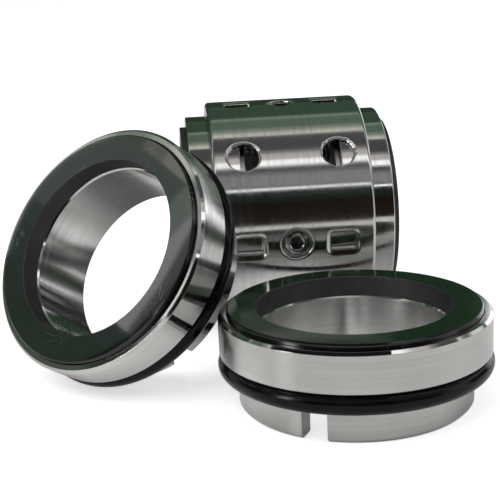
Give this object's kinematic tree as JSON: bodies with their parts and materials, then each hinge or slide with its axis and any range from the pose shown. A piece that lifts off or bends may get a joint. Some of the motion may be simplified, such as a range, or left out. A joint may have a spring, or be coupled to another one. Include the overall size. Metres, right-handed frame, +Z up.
{
  "type": "component-type double mechanical seal",
  "caption": "Double-ended rotary shaft seal with spring-loaded faces, set screws and pressed drive pockets, shown with its stationary seats and their O-rings.",
  "frame": {"origin": "centre of the shaft bore in the drive collar", "axes": "+X along the shaft towards the right end, +Z up, the rotary unit lies on its barrel"},
  "size_m": [0.1391, 0.157, 0.075],
  "materials": {
    "stainless": "turned and polished",
    "screw_steel": "machined",
    "spring_wire": "drawn wire",
    "silicon_carbide": "lapped",
    "rubber": "moulded, slightly oily"
  },
  "bodies": {
    "seal": {"drive_shell": "stainless", "drive_collar": "stainless", "left_springs": "spring_wire", "right_springs": "spring_wire", "flat_seat_ring": "stainless", "flat_seat_face": "silicon_carbide", "flat_seat_o_ring": "rubber", "leaning_seat_ring": "stainless", "leaning_seat_face": "silicon_carbide", "leaning_seat_o_ring": "rubber"},
    "left_ring_set": {"left_rotary_ring": "stainless", "left_rotary_face": "silicon_carbide", "left_thrust_ring": "stainless", "left_shaft_o_ring": "rubber"},
    "right_ring_set": {"right_rotary_ring": "stainless", "right_rotary_face": "silicon_carbide", "right_thrust_ring": "stainless", "right_shaft_o_ring": "rubber"},
    "screw_1": {"set_screw_1": "screw_steel"},
    "screw_2": {"set_screw_2": "screw_steel"},
    "screw_3": {"set_screw_3": "screw_steel"},
    "screw_4": {"set_screw_4": "screw_steel"}
  },
  "joints": [
    {"name": "left_face_slide", "type": "slide", "parent": "seal", "child": "left_ring_set", "axis": [1, 0, 0], "range_m": [0, 0.003], "stiffness_N_per_m": 6000, "springref_m": -0.005, "deforming": ["left_springs"]},
    {"name": "right_face_slide", "type": "slide", "parent": "seal", "child": "right_ring_set", "axis": [-1, 0, 0], "range_m": [0, 0.003], "stiffness_N_per_m": 6000, "springref_m": -0.005, "deforming": ["right_springs"]},
    {"name": "set_screw_1_drive", "type": "slide", "parent": "seal", "child": "screw_1", "axis": [0, -0.9949, -0.1011], "range_m": [0, 0.0015]},
    {"name": "set_screw_2_drive", "type": "slide", "parent": "seal", "child": "screw_2", "axis": [0, 0.1011, -0.9949], "range_m": [0, 0.0015]},
    {"name": "set_screw_3_drive", "type": "slide", "parent": "seal", "child": "screw_3", "axis": [0, 0.9949, 0.1011], "range_m": [0, 0.0015]},
    {"name": "set_screw_4_drive", "type": "slide", "parent": "seal", "child": "screw_4", "axis": [0, -0.1011, 0.9949], "range_m": [0, 0.0015]}
  ]
}
